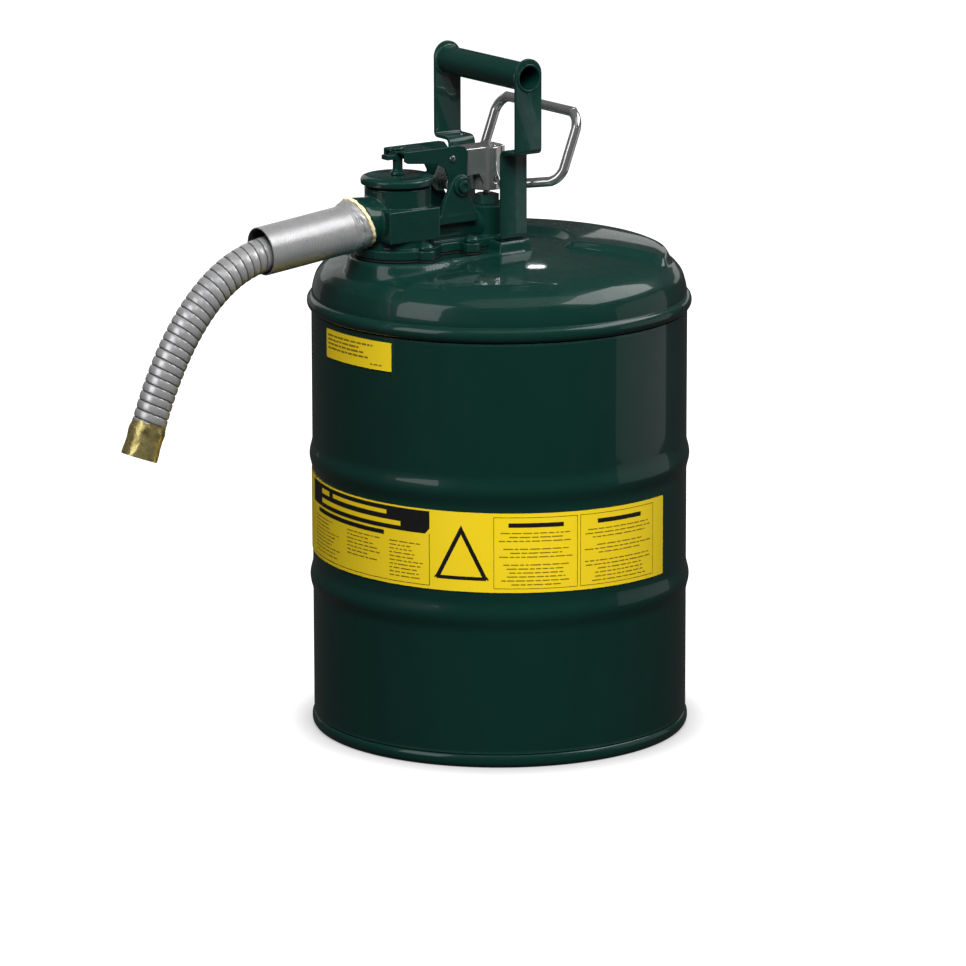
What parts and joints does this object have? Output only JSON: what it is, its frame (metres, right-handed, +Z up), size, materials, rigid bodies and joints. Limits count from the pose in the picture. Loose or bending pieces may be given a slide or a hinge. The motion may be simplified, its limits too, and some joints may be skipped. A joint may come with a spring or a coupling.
{
  "type": "safety gas can",
  "caption": "Round steel safety can with a carrying handle, squeeze trigger, spring-closed fill cap and a flexible metal pouring hose.",
  "frame": {"origin": "centre of the base, on the surface that the can stands on", "axes": "+Z up along the drum's axis, -Y towards the pouring hose, X along the carrying grip"},
  "size_m": [0.28, 0.4602, 0.4998],
  "materials": {
    "green_paint": "glossy dark green enamel",
    "dark_fastener": "dark green enamel, duller",
    "bright_steel": "bright steel",
    "hose_steel": "bright ribbed steel",
    "chrome": "polished plating",
    "brass": "satin brass",
    "seal_rubber": "matte black rubber",
    "fibre_washer": "cream fibre washer",
    "yellow_label": "yellow printed film"
  },
  "bodies": {
    "root": {"body_shell": "green_paint", "bottom_pan": "green_paint", "top_dome": "green_paint", "handle_strap_right": "green_paint", "handle_strap_left": "green_paint", "grip_tube": "green_paint", "manifold_casting": "green_paint", "pivot_bolt": "green_paint", "pivot_nut": "green_paint", "flange_screw_1": "dark_fastener", "flange_screw_2": "dark_fastener", "flange_screw_3": "dark_fastener", "flange_screw_4": "dark_fastener", "gland_nut": "dark_fastener", "fill_flame_arrester": "bright_steel", "pour_flame_arrester": "bright_steel", "cap_spring": "bright_steel", "hose_adapter": "hose_steel", "hose_cuff": "hose_steel", "hose_sleeve": "hose_steel", "hose_tube": "hose_steel", "brass_tip": "brass", "manifold_gasket": "seal_rubber", "hose_gasket": "fibre_washer", "label_band": "yellow_label", "label_plate": "yellow_label"},
    "trigger": {"trigger_lever": "chrome", "link_pin": "bright_steel", "trigger_loop": "chrome"},
    "valve": {"valve_rod": "chrome", "valve_disc": "brass", "valve_seal": "seal_rubber", "valve_spring": "bright_steel"},
    "fill_cap_arm": {"cap_arm": "green_paint", "arm_rivet_right": "bright_steel", "arm_rivet_left": "bright_steel", "fill_cap": "green_paint", "fill_cap_gasket": "seal_rubber", "cap_stem": "green_paint"}
  },
  "joints": [
    {"name": "trigger_squeeze", "type": "hinge", "parent": "root", "child": "trigger", "pos_m": [0, -0.0455, 0.4065], "axis": [1, 0, 0], "range_deg": [0, 18], "stiffness_Nm_per_rad": 1.5, "springref_deg": -17.19},
    {"name": "valve_slide", "type": "slide", "parent": "root", "child": "valve", "axis": [0, 0, 1], "range_m": [0, 0.0109], "deforming": ["valve_spring"]},
    {"name": "fill_cap_lift", "type": "hinge", "parent": "root", "child": "fill_cap_arm", "pos_m": [0, -0.0455, 0.4065], "axis": [-1, 0, 0], "range_deg": [0, 45], "stiffness_Nm_per_rad": 1, "springref_deg": -28.65}
  ],
  "couplings": [
    {"joint": "valve_slide", "follows": "trigger_squeeze", "m_per_rad": 0.0345}
  ]
}
